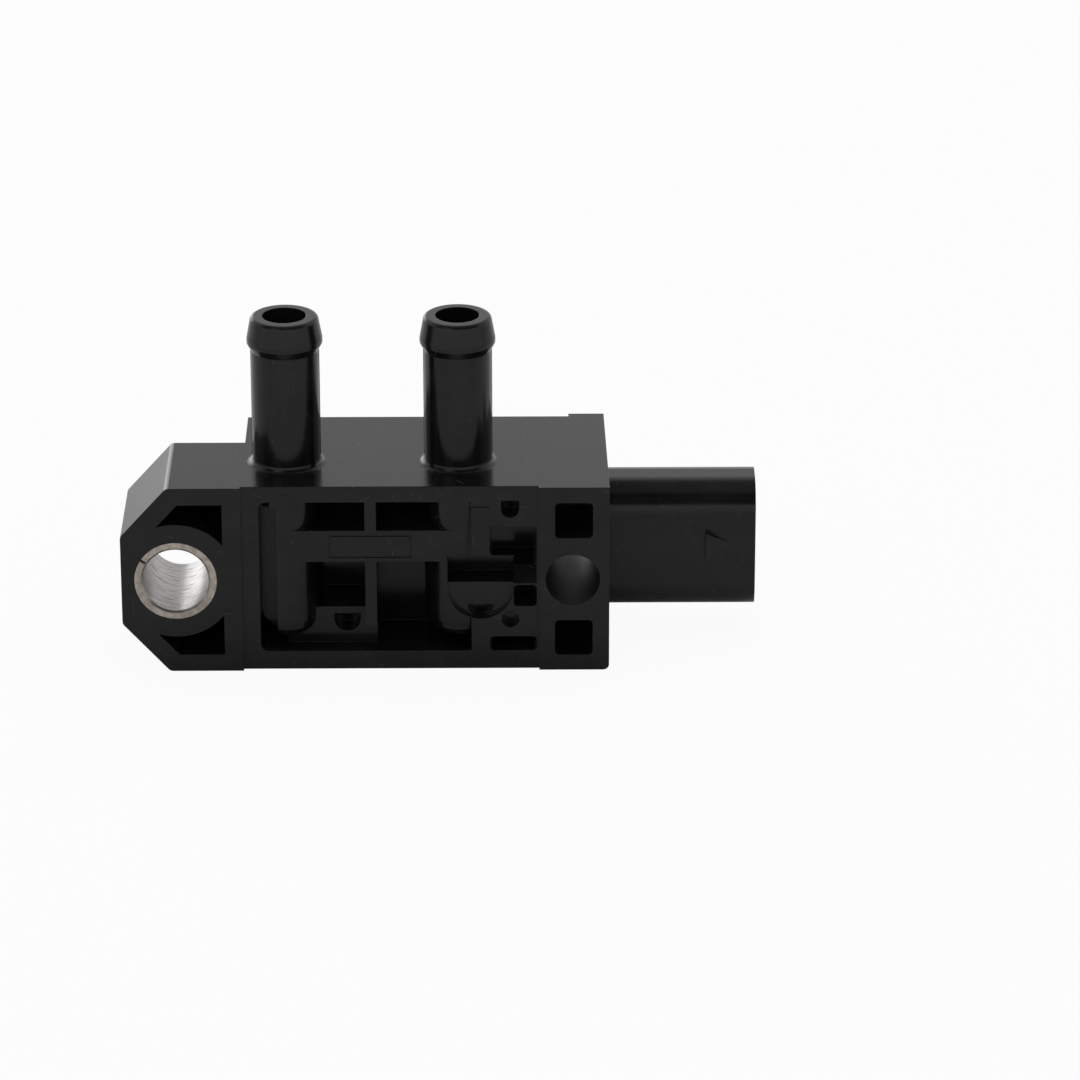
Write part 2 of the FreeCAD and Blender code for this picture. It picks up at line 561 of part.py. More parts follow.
# Housing: windows of the right plate
windows = {
    "upper_window": (WINDOW_LEFT, CORE_RIGHT, "upper_window_low", "upper_window_high", "upper_window_depth"),
    "window_link": (WINDOW_LEFT, SMALL_LEFT, "cup_height + cup_shelf", "upper_window_low + core_corner",
                    "cup_well"),
    "small_window": (SMALL_LEFT, CORE_RIGHT, "small_window_low", "small_window_high", "side_window_depth"),
    "foot_window": (WINDOW_LEFT, CORE_RIGHT, "core_floor_wall", "foot_window_high", "side_window_depth"),
}
for name, (left, right, low, high, depth) in windows.items():
    window = new_sketch(housing, name + "_outline", offset=FACE)
    rounded_box(window, left, right, low, high, "core_corner / 2")
    cut_from(housing, window, depth, name)
shelf = new_sketch(housing, "shelf_profile", "YZ", CORE_RIGHT)
outline(shelf, [(FACE, "upper_window_low + core_corner"), (FACE, "small_window_high + shelf_rib"),
                (f"{FACE} + shelf_slope", "upper_window_low"),
                (f"{FACE} + shelf_slope", "upper_window_low + core_corner")])
cut_from(housing, shelf, "small_window_width", "sloped_shelf")

# Housing: the valley between the second tube and the column, and the line across the column
valley = new_sketch(housing, "valley_outline")
outline(valley, [(f"{STEM_LEFT} - valley_width", "valley_low"), (STEM_LEFT, "valley_low"),
                 (STEM_LEFT, "valley_high"), (f"{STEM_LEFT} - valley_width / 2", "valley_middle")])
cut_from(housing, valley, f"{FACE} + valley_depth", "valley")
line = new_sketch(housing, "column_line_outline", offset=FACE)
outline(line, [(STEM_LEFT, "valley_high"), (WINDOW_LEFT, "valley_high"),
               (WINDOW_LEFT, "valley_high + field_line"), (STEM_LEFT, "valley_high + field_line")])
cut_from(housing, line, "field_line_depth", "column_line")

# Housing: the cup, a half-round step with a deeper well above it
cup = new_sketch(housing, "cup_outline")
round_hole(cup, CUP_AXIS, "cup_height", "cup_radius")
cut_from(housing, cup, f"{FACE} + cup_step", "cup")
well = new_sketch(housing, "cup_well_outline")
outline(well, [
    (f"{CUP_AXIS} - cup_radius", "cup_height + cup_shelf"),
    (f"{CUP_AXIS} + cup_radius", "cup_height + cup_shelf"),
    (f"{CUP_AXIS} + cup_radius", "cup_height + cup_top"),
    (f"{CUP_AXIS} - cup_radius", "cup_height + cup_top"),
])
cut_from(housing, well, f"{FACE} + cup_well", "cup_well")

# Housing: the framed field on the bar, and the holes and marks that ejector pins leave
field = new_sketch(housing, "field_outline", offset=FACE)
for inset in ("0", "field_line"):
    left, right = f"{FIRST_CHANNEL} + field_left_gap + {inset}", f"{SECOND_CHANNEL} - field_right_gap - {inset}"
    low, high = f"bar_low + field_margin + {inset}", f"{BAR_HIGH} - field_margin - {inset}"
    outline(field, [(left, low), (right, low), (right, high), (left, high)])
cut_from(housing, field, "field_line_depth", "field_line_cut")


def d_hole(name, middle, top, width, side, front, depth):
    """A pocket with a flat top, straight sides and a half-round foot."""
    sketch = new_sketch(housing, name + "_outline", offset=front)
    left, right = f"{middle} - {width} / 2", f"{middle} + {width} / 2"
    low = f"{top} - {side}"
    spots = {key: FreeCAD.Vector(number(across), number(up), 0)
             for key, across, up in (("a", left, low), ("b", left, top), ("c", right, top), ("d", right, low))}
    for start, end in ("ab", "bc", "cd"):
        sketch.addGeometry(Part.LineSegment(spots[start], spots[end]), False)
    circle = Part.Circle((spots["a"] + spots["d"]) * 0.5, FreeCAD.Vector(0, 0, 1), number(width) / 2)
    sketch.addGeometry(Part.ArcOfCircle(circle, math.pi, 2 * math.pi), False)
    sketch.addConstraint(Sketcher.Constraint("Coincident", 0, 2, 1, 1))
    sketch.addConstraint(Sketcher.Constraint("Coincident", 1, 2, 2, 1))
    sketch.addConstraint(Sketcher.Constraint("Coincident", 2, 2, 3, 2))
    sketch.addConstraint(Sketcher.Constraint("Coincident", 3, 1, 0, 1))
    sketch.addConstraint(Sketcher.Constraint("Horizontal", 1))
    pin_point(sketch, 0, 1, left, low)
    pin_point(sketch, 1, 2, right, top)
    sketch.addConstraint(Sketcher.Constraint("Vertical", 0))
    pin_point(sketch, 3, 3, middle, low)
    cut_from(housing, sketch, depth, name)


d_hole("pad_hole", MARK_AXIS, "(body_tall - pad_hole_drop)", "pad_hole_width", "pad_hole_side", FACE,
       "pad_hole_depth")
d_hole("ledge_hole", f"({RIB_AXIS} - ledge_hole_place)", "ledge_hole_top", "ledge_hole_width",
       "ledge_hole_side", f"{FACE} + ledge_set_back", "ledge_hole_depth")
d_hole("cup_mark", CUP_AXIS, "(cup_height - cup_mark_drop)", "cup_mark_width", "cup_mark_side",
       f"{FACE} + cup_step", "cup_mark_depth")
pin_mark = round_hole(new_sketch(housing, "pin_mark_outline", offset=FACE), MARK_AXIS, "pin_mark_height",
                      "pin_mark_radius")
cut_from(housing, pin_mark, "pin_mark_depth", "pin_mark")

# Housing: pockets and locating hole of the end block
POCKET_RIGHT = f"({BODY_RIGHT} - pocket_inset)"
pockets = {
    "upper_pocket": f"body_tall - pocket_inset - pocket_width",
    "lower_pocket": "pocket_inset",
}
for name, low in pockets.items():
    pocket = new_sketch(housing, name + "_outline")
    rounded_box(pocket, f"{POCKET_RIGHT} - pocket_width", POCKET_RIGHT, low, f"{low} + pocket_width",
                "pocket_corner")
    cut_from(housing, pocket, "pocket_depth", name)
locator = round_hole(new_sketch(housing, "locator_section"), LOCATOR_AXIS, "bush_height", "locator_radius")
cut_from(housing, locator, "body_depth + end_proud", "locating_hole")

# Housing: the electronics chamber, open to the rear, with a rebate for its cover
rebate = new_sketch(housing, "rebate_outline", offset="body_depth")
rounded_box(rebate, REBATE_LEFT, REBATE_RIGHT, "cover_rim", REBATE_TOP, "cover_corner")
cut_from(housing, rebate, "cover_thick + cover_seal_thick", "cover_rebate", reverse=True)
chamber = new_sketch(housing, "chamber_outline", offset=REBATE_FLOOR)
rounded_box(chamber, CHAMBER_LEFT, CHAMBER_RIGHT, CHAMBER_LOW, CHAMBER_TOP, "cover_corner")
cut_from(housing, chamber, f"{REBATE_FLOOR} - {CHAMBER_FLOOR}", "chamber", reverse=True)

# Housing: the two nipples, their channels and the ports into the chamber
nipple = new_sketch(housing, "nipple_profile", offset="nipple_depth")
spin_axis(nipple, "nipple_place")
TIP = "(body_tall + nipple_tall)"
outline(nipple, [
    ("nipple_place", "body_tall - core_roof_wall / 2"),
    ("nipple_place + nipple_radius + foot_rounding", "body_tall - core_roof_wall / 2"),
    *quarter("nipple_place + nipple_radius", "body_tall", 1, 1, "foot_rounding"),
    ("nipple_place + nipple_radius", f"{TIP} - barb_tall"),
    ("nipple_place + barb_radius", f"{TIP} - barb_tall + barb_back"),
    ("nipple_place + barb_radius", f"{TIP} - barb_tall + barb_back + barb_crest"),
    *reversed(quarter("nipple_place + tip_radius", TIP, -1, -1, "tip_rounding")),
    ("nipple_place", TIP),
])
nipple_turn = spin(housing, nipple, "nipple")
nipples = housing.newObject("PartDesign::LinearPattern", "nipples")
nipples.Originals = [nipple_turn]
nipples.Direction = (nipple, ["H_Axis"])
nipples.Occurrences = 2
bind(nipples, Length=f"{SECOND_CHANNEL} - {FIRST_CHANNEL}")
housing.Tip = nipples
bores = new_sketch(housing, "channel_bores", "XY", TIP)
for axis in (FIRST_CHANNEL, SECOND_CHANNEL):
    round_hole(bores, axis, "nipple_depth", "nipple_bore")
cut_from(housing, bores, f"{TIP} - channel_end", "channels")
ports = new_sketch(housing, "ports_section", offset=CHAMBER_FLOOR)
left, right = f"{FIRST_CHANNEL} - port_width / 2", f"{FIRST_CHANNEL} + port_width / 2"
low, high = f"{PORT_HEIGHT} - port_width / 2", f"{PORT_HEIGHT} + port_width / 2"
outline(ports, [(left, low), (right, low), (right, high), (left, high)])
round_hole(ports, SECOND_CHANNEL, PORT_HEIGHT, "port_radius")
cut_from(housing, ports, f"{CHAMBER_FLOOR} - nipple_depth", "ports", reverse=True)

# Housing: the bent slots that the terminals fill, round the locating hole and into the chamber
BLADE_START = f"({CHAMBER_RIGHT} - lead_foot)"
BLADE_END = f"({SOCKET_FLOOR} + blade_reach)"
TERMINALS = {
    "ground": (f"({BLADE_MIDDLE} - blade_pitch)", f"({BLADE_MIDDLE} - ground_lead_drop)", "ground_bend"),
    "signal": (BLADE_MIDDLE, f"({BLADE_MIDDLE} + signal_lead_rise)", "signal_bend"),
    "supply": (f"({BLADE_MIDDLE} + blade_pitch)", f"({BLADE_MIDDLE} + supply_lead_rise)", "supply_bend"),
}


def terminal_outline(sketch, blade, lead, bend):
    """A blade with a tapered tip, and the narrower lead that leaves it at the bend."""
    middle = f"{SOCKET_FLOOR} - {bend}"
    return outline(sketch, [
        (BLADE_START, f"{lead} - lead_width / 2"),
        (f"{middle} - lead_width / 2", f"{lead} - lead_width / 2"),
        (f"{middle} - lead_width / 2", f"{blade} - blade_width / 2"),
        (f"{BLADE_END} - blade_tip", f"{blade} - blade_width / 2"),
        (BLADE_END, f"{blade} - blade_width / 4"),
        (BLADE_END, f"{blade} + blade_width / 4"),
        (f"{BLADE_END} - blade_tip", f"{blade} + blade_width / 2"),
        (f"{middle} + lead_width / 2", f"{blade} + blade_width / 2"),
        (f"{middle} + lead_width / 2", f"{lead} + lead_width / 2"),
        (BLADE_START, f"{lead} + lead_width / 2"),
    ])


for name, way in TERMINALS.items():
    channel = terminal_outline(new_sketch(housing, name + "_slot_outline", offset=BLADE_FRONT), *way)
    cut_from(housing, channel, "blade_thick", name + "_slot")

# Mounting bush: a rolled sleeve, split along its length
bush = new_body("mounting_bush")
sleeve = new_sketch(bush, "sleeve_section")
round_hole(sleeve, "0", "bush_height", "bush_radius")
round_hole(sleeve, "0", "bush_height", "bush_radius - bush_wall")
sleeve_pad = raise_from(bush, sleeve, "ear_depth", "sleeve", reverse=True)
doc.recompute()
rims = [f"Edge{index}" for index, edge in enumerate(sleeve_pad.Shape.Edges, start=1)
        if isinstance(edge.Curve, Part.Circle) and near(edge.Curve.Radius, number("bush_radius - bush_wall"))]
lead_in = bush.newObject("PartDesign::Chamfer", "bore_edges")
lead_in.Base = (sleeve_pad, rims)
bind(lead_in, Size="bush_edge")
split = new_sketch(bush, "split_outline", "XZ")
SPLIT_ANGLE = 147
split_out = FreeCAD.Vector(math.cos(math.radians(SPLIT_ANGLE)), math.sin(math.radians(SPLIT_ANGLE)), 0)
outline(split, [
    (f"{split_out.x:.4f} * (bush_radius - 2 * bush_wall) - {split_out.y:.4f} * bush_split / 2",
     f"bush_height + {split_out.y:.4f} * (bush_radius - 2 * bush_wall) + {split_out.x:.4f} * bush_split / 2"),
    (f"{split_out.x:.4f} * (bush_radius + bush_wall) - {split_out.y:.4f} * bush_split / 2",
     f"bush_height + {split_out.y:.4f} * (bush_radius + bush_wall) + {split_out.x:.4f} * bush_split / 2"),
    (f"{split_out.x:.4f} * (bush_radius + bush_wall) + {split_out.y:.4f} * bush_split / 2",
     f"bush_height + {split_out.y:.4f} * (bush_radius + bush_wall) - {split_out.x:.4f} * bush_split / 2"),
    (f"{split_out.x:.4f} * (bush_radius - 2 * bush_wall) + {split_out.y:.4f} * bush_split / 2",
     f"bush_height + {split_out.y:.4f} * (bush_radius - 2 * bush_wall) - {split_out.x:.4f} * bush_split / 2"),
])
cut_from(bush, split, "ear_depth", "split")

# Terminals: three blades with tapered tips on bent leads, and the solder under their inner ends
joint_boxes = []
for name, way in TERMINALS.items():
    terminal = new_body(name + "_terminal")
    shape = terminal_outline(new_sketch(terminal, name + "_blade", offset=BLADE_FRONT), *way)
    raise_from(terminal, shape, "blade_thick", name + "_pad", reverse=True)
    joint = doc.addObject("Part::Box", name + "_joint")
    joint.Label = name + "_joint"
    bind(joint, Length="joint_length", Width="joint_thick", Height="lead_width",
         Placement__Base__x=f"{BLADE_START} + joint_inset", Placement__Base__y=BOARD_FACE,
         Placement__Base__z=f"{way[1]} - lead_width / 2 - bush_height")
    joint_boxes.append(joint)

# Rear cover and the adhesive that seals it on its land
cover = new_body("rear_cover")
lid = new_sketch(cover, "cover_outline", offset="body_depth - cover_thick")
rounded_box(lid, f"{REBATE_LEFT} + cover_clearance", f"{REBATE_RIGHT} - cover_clearance",
            "cover_rim + cover_clearance", f"{REBATE_TOP} - cover_clearance", "cover_corner - cover_clearance")
raise_from(cover, lid, "cover_thick", "cover", reverse=True)

seal = new_body("cover_seal")
bead = new_sketch(seal, "seal_outline", offset=REBATE_FLOOR)
rounded_box(bead, f"{REBATE_LEFT} + cover_clearance", f"{REBATE_RIGHT} - cover_clearance",
            "cover_rim + cover_clearance", f"{REBATE_TOP} - cover_clearance", "cover_corner - cover_clearance")
rounded_box(bead, CHAMBER_LEFT, CHAMBER_RIGHT, CHAMBER_LOW, CHAMBER_TOP, "cover_corner")
raise_from(seal, bead, "cover_seal_thick", "bead", reverse=True)


def block(name, left, front, low, length, depth, tall):
    """A box of the board's world, bound to the sheet."""
    box = doc.addObject("Part::Box", name)
    bind(box, Length=length, Width=depth, Height=tall, Placement__Base__x=left, Placement__Base__y=front,
         Placement__Base__z=f"({low}) - bush_height")
    return box


def rod(name, across, front, up, radius, depth):
    """A round bar that runs from front to rear."""
    bar = doc.addObject("Part::Cylinder", name)
    bar.Placement.Rotation = FreeCAD.Rotation(FreeCAD.Vector(1, 0, 0), -90)
    bind(bar, Radius=radius, Height=depth, Placement__Base__x=across, Placement__Base__y=front,
         Placement__Base__z=f"{up} - bush_height")
    return bar


def cut(name, base, tool):
    result = doc.addObject("Part::Cut", name)
    result.Base = base
    result.Tool = tool
    return result


# Circuit board on its bonding sheet, both pierced for the rear pressure port
BOARD_BACK = f"({BOARD_FACE} - board_thick)"
board = cut(
    "circuit_board",
    block("board_blank", BOARD_LEFT, BOARD_BACK, BOARD_LOW, BOARD_LENGTH, "board_thick", BOARD_TALL),
    rod("board_port_bore", SECOND_CHANNEL, BOARD_BACK, PORT_HEIGHT, "board_port", "board_thick"),
)
board_seal = cut(
    "board_seal",
    block("board_seal_sheet", f"{BOARD_LEFT} + board_seal_inset", CHAMBER_FLOOR,
          f"{BOARD_LOW} + board_seal_inset", f"{BOARD_LENGTH} - 2 * board_seal_inset", "board_seal_thick",
          f"{BOARD_TALL} - 2 * board_seal_inset"),
    rod("board_seal_bore", SECOND_CHANNEL, CHAMBER_FLOOR, PORT_HEIGHT, "port_radius", "board_seal_thick"),
)

# Pressure die on its glass pedestal, in a dam filled with soft gel
DIE_LEFT = f"({SECOND_CHANNEL} - die_width / 2)"
DIE_LOW = f"({PORT_HEIGHT} - die_width / 2)"
DIE_FRONT = f"({BOARD_FACE} + pedestal_tall)"
pedestal = cut(
    "die_pedestal",
    block("pedestal_blank", DIE_LEFT, BOARD_FACE, DIE_LOW, "die_width", "pedestal_tall", "die_width"),
    rod("pedestal_bore", SECOND_CHANNEL, BOARD_FACE, PORT_HEIGHT, "pedestal_port", "pedestal_tall"),
)
die = cut(
    "pressure_die",
    block("die_blank", DIE_LEFT, DIE_FRONT, DIE_LOW, "die_width", "die_thick", "die_width"),
    block("die_hollow", f"{SECOND_CHANNEL} - membrane_width / 2", DIE_FRONT,
          f"{PORT_HEIGHT} - membrane_width / 2", "membrane_width", "die_thick - membrane_thick",
          "membrane_width"),
)
dam = cut(
    "gel_dam",
    rod("dam_outside", SECOND_CHANNEL, BOARD_FACE, PORT_HEIGHT, "dam_radius", "dam_tall"),
    rod("dam_inside", SECOND_CHANNEL, BOARD_FACE, PORT_HEIGHT, "dam_radius - dam_wall", "dam_tall"),
)
gel = cut(
    "protective_gel",
    rod("gel_fill", SECOND_CHANNEL, BOARD_FACE, PORT_HEIGHT, "dam_radius - dam_wall", "dam_tall - gel_below"),
    block("gel_hollow", DIE_LEFT, BOARD_FACE, DIE_LOW, "die_width", "pedestal_tall + die_thick", "die_width"),
)

# Signal chip and the small chip parts, soldered flat on the board in two rows beside the dam
DAM_LEFT = f"({SECOND_CHANNEL} - dam_radius)"
chip = block("signal_chip", f"({BOARD_LEFT} + {DAM_LEFT} - chip_length) / 2", BOARD_FACE,
             f"{PORT_HEIGHT} - chip_width / 2", "chip_length", "chip_thick", "chip_width")
LOW_ROW = f"({BOARD_LOW} + {PORT_HEIGHT} - dam_radius - part_width) / 2"
HIGH_ROW = f"({BOARD_LOW} + {BOARD_TALL} + {PORT_HEIGHT} + dam_radius - part_width) / 2"
NEAR_EDGE = f"{BOARD_LEFT} + part_edge_gap"
small_parts = [
    ("supply_capacitor", f"{DAM_LEFT} - part_dam_gap", LOW_ROW, "capacitor_thick"),
    ("signal_capacitor", f"{SECOND_CHANNEL} - part_length / 2", LOW_ROW, "capacitor_thick"),
    ("filter_capacitor", f"{DAM_LEFT} - part_dam_gap", HIGH_ROW, "capacitor_thick"),
    ("pull_up_resistor", NEAR_EDGE, HIGH_ROW, "resistor_thick"),
    ("load_resistor", NEAR_EDGE, LOW_ROW, "resistor_thick"),
]
small_blocks = [
    block(name, across, BOARD_FACE, up, "part_length", thick, "part_width")
    for name, across, up, thick in small_parts
]

doc.recompute()

# Check every object, then write one file for each piece
for thing in doc.Objects:
    trouble = {"Invalid", "Error"} & set(thing.State)
    if trouble:
        raise RuntimeError(f"{thing.Label}: {sorted(trouble)}")

terminals = [doc.getObject(name + "_terminal") for name in ("ground", "signal", "supply")]
pieces = [housing, bush, *terminals, *joint_boxes, cover, seal, board, board_seal, pedestal, die, dam, gel,
          chip, *small_blocks]
for piece in pieces:
    if piece.Shape.isNull() or not piece.Shape.isValid():
        raise RuntimeError(f"{piece.Label}: no valid shape")

os.makedirs("parts", exist_ok=True)
for piece in pieces:
    piece.Shape.exportStep(os.path.join("parts", piece.Label + ".step"))
    print(f"{piece.Label:20s} {piece.Shape.Volume:10.2f} mm3  {len(piece.Shape.Faces)} faces")
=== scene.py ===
"""The looks of a differential pressure sensor for a diesel particulate filter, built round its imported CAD."""
import math

import bmesh
import bpy
from mathutils import Matrix, Vector


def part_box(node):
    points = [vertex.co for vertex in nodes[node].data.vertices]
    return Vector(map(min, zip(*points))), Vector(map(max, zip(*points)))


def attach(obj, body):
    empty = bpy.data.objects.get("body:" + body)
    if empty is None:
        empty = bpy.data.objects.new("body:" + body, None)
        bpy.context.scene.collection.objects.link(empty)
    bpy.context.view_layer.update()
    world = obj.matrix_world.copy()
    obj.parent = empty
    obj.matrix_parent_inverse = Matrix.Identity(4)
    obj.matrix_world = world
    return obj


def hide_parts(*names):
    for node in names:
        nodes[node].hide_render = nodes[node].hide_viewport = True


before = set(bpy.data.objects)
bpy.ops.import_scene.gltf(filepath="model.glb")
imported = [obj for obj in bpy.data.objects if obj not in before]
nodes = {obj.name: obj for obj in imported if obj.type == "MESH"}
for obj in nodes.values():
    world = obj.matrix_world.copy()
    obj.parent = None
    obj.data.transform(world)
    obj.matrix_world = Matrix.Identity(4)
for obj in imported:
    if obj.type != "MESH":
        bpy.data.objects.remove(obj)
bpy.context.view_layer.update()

MM = 0.001


# Housing
# One injection moulding of black glass-filled nylon. A polished tool leaves its outer faces glossy, with
# faint flow marks in the gloss. Handling and packing leave hairline scratches and a little pale dust.
class Signal:
    """A socket of a node tree. Arithmetic on it adds the Math nodes that work it out."""

    def __init__(self, tree, socket=None):
        self.tree = tree
        self.socket = socket

    def node(self, kind, settings=None, inputs=None, output=0):
        node = self.tree.nodes.new(kind)
        for name, value in (settings or {}).items():
            setattr(node, name, value)
        for name, value in (inputs or {}).items():
            if isinstance(value, Signal):
                self.tree.links.new(value.socket, node.inputs[name])
            else:
                node.inputs[name].default_value = value
        return Signal(self.tree, node.outputs[output])

    def sibling(self, output):
        """Another output of the same node."""
        return Signal(self.tree, self.socket.node.outputs[output])

    def math(self, operation, *others):
        return self.node("ShaderNodeMath", {"operation": operation}, dict(enumerate((self, *others))))

    def vector(self, operation, other):
        return self.node("ShaderNodeVectorMath", {"operation": operation}, {0: self, 1: other})

    def __add__(self, other):
        return self.math("ADD", other)

    def __radd__(self, other):
        return self.math("ADD", other)

    def __sub__(self, other):
        return self.math("SUBTRACT", other)

    def __rsub__(self, other):
        return self.node("ShaderNodeMath", {"operation": "SUBTRACT"}, {0: other, 1: self})

    def __mul__(self, other):
        return self.math("MULTIPLY", other)

    def __rmul__(self, other):
        return self.math("MULTIPLY", other)

    def __gt__(self, other):
        return self.math("GREATER_THAN", other)

    def between(self, low, high):
        """0 at low and 1 at high, smoothly."""
        return self.node("ShaderNodeMapRange", {"interpolation_type": "SMOOTHSTEP"},
                         {"Value": self, "From Min": low, "From Max": high})

    def within(self, low, high, fade):
        """1 from low to high, in millimetres, and 0 outside them."""
        return (self.between((low - fade) * MM, low * MM)
                * (1 - self.between(high * MM, (high + fade) * MM)))

    def blend(self, first, second):
        """The first colour where this is 0 and the second where it is 1."""
        return self.node("ShaderNodeMix", {"data_type": "RGBA"}, {0: self, 6: first, 7: second}, 2)

    def placed(self, scale=(1, 1, 1), location=(0, 0, 0), turn=(0, 0, 0)):
        return self.node("ShaderNodeMapping", None,
                         {"Vector": self, "Scale": scale, "Location": location, "Rotation": turn})

    def noise(self, size, detail=2.0, roughness=0.5, distortion=0.0):
        """A cloud pattern whose lumps are about this size, in millimetres."""
        return self.node("ShaderNodeTexNoise", None,
                         {"Vector": self, "Scale": 1 / (size * MM), "Detail": detail,
                          "Roughness": roughness, "Distortion": distortion})

    def axis(self, name):
        return self.node("ShaderNodeSeparateXYZ", None, {0: self}, name)

    def bump(self, strength, distance, normal=None):
        """This height, in units of the distance in millimetres, as a change of normal."""
        inputs = {"Height": self, "Strength": strength, "Distance": distance * MM}
        if normal:
            inputs["Normal"] = normal
        return self.node("ShaderNodeBump", None, inputs)


def colour(*channels):
    return (*channels, 1.0)


def finish_of(name, **plain):
    """A new material, its shader's plain numbers set, with its object coordinates to draw on."""
    material = bpy.data.materials.new(name)
    material.use_nodes = True
    shader = material.node_tree.nodes["Principled BSDF"]
    for socket, value in plain.items():
        shader.inputs[socket.replace("_", " ")].default_value = value
    place = Signal(material.node_tree, material.node_tree.nodes.new("ShaderNodeTexCoord").outputs["Object"])

    def feed(**signals):
        for socket, value in signals.items():
            material.node_tree.links.new(value.socket, shader.inputs[socket.replace("_", " ")])
    return material, place, feed


def dress(thing, material):
    """The material in every slot of a piece or a carried-over node."""
    if not thing.data.materials:
        thing.data.materials.append(material)
    for slot in thing.material_slots:
        slot.material = material
    return thing


def soft_edges(place, radius):
    """The normal that edges have once their corners are broken by this radius, in millimetres."""
    return place.node("ShaderNodeBevel", {"samples": 6}, {"Radius": radius * MM})


def strokes(place, size, length, width, share):
    """A straight hairline in some cells of a Voronoi pattern, each at its own angle."""
    centre = place.node("ShaderNodeTexVoronoi", None, {"Vector": place, "Scale": 1 / (size * MM)}, "Position")
    pick = centre.sibling("Color")
    offset = place.vector("SUBTRACT", centre)
    across, up = offset.axis("X"), offset.axis("Y") + offset.axis("Z")
    angle = pick.axis("X") * (2 * math.pi)
    cosine, sine = angle.math("COSINE"), angle.math("SINE")
    along = (across * cosine + up * sine).math("ABSOLUTE")
    aside = (up * cosine - across * sine).math("ABSOLUTE")
    line = (1 - along.between(length * MM * 0.3, length * MM)) * (1 - aside.between(0.0, width * MM))
    return line * (pick.axis("Y") > 1 - share)


def specks(place, size, radius, share):
    """A small round speck in some cells of a Voronoi pattern."""
    near = place.node("ShaderNodeTexVoronoi", None, {"Vector": place, "Scale": 1 / (size * MM)}, "Distance")
    spot = 1 - near.between(radius / size * 0.5, radius / size)
    return spot * (near.sibling("Color").axis("Z") > 1 - share)


moulding, place, feed = finish_of("black_moulding", IOR=1.36)
flow = place.placed((1, 1, 2.2)).noise(6, 3.0, distortion=0.4)
grain = place.noise(0.28, 4.0, 0.6)
upper_face = place.axis("Z").within(11.6, 11.75, 0.05)
scratches = (strokes(place, 4.0, 1.1, 0.05, 0.35) * (0.35 + upper_face * 0.5)
             + strokes(place.placed(location=(0.013, 0.004, 0.009)), 2.3, 0.5, 0.04, 0.2) * 0.5)
pale_dust = (specks(place, 3.1, 0.16, 0.22)
             + specks(place.placed(location=(0.011, 0.007, 0.004)), 1.7, 0.1, 0.1))
marks = (scratches + pale_dust * 0.7).math("MINIMUM", 1.0)
wall, height, depth = place.axis("X"), place.axis("Z"), place.axis("Y")
# The line where the core's insert meets the tool, across the wall beside the slot.
insert_line = (wall.within(8.0, 9.7, 0.05) * height.within(8.55, 8.67, 0.04)
               * (1 - depth.between(0.6 * MM, 0.8 * MM)))
# The pin that forms the locating hole isn't polished, so its wall stays dull.
LOCATOR_X = 46.7
from_pin = wall - LOCATOR_X * MM
pin_radius = (from_pin * from_pin + height * height).math("SQRT")
pin_wall = (1 - pin_radius.between(3.15 * MM, 3.3 * MM)) * (depth > 0.1 * MM)
feed(
    Base_Color=marks.blend(flow.between(0.3, 0.7).blend(colour(0.0045, 0.0048, 0.0054),
                                                        colour(0.0080, 0.0085, 0.0092)),
                           colour(0.10, 0.10, 0.10)),
    Roughness=0.10 + flow * 0.12 + grain * 0.05 + marks * 0.3 + pin_wall * 0.4,
    Normal=(grain * 0.5 + flow * 1.4 - insert_line * 4.0 - scratches * 0.6).bump(
        0.25, 0.02, soft_edges(place, 0.12)),
)
dress(nodes["housing"], moulding)


# Parting lines of the nipples
# The two halves of the tool meet in a plane through both nipples, and leave a fine raised line up each side
# of each nipple. The hose seals over it, so it isn't trimmed.
def in_scene(name, data):
    """A new object of this name in the scene."""
    thing = bpy.data.objects.new(name, data)
    bpy.context.scene.collection.objects.link(thing)
    return thing


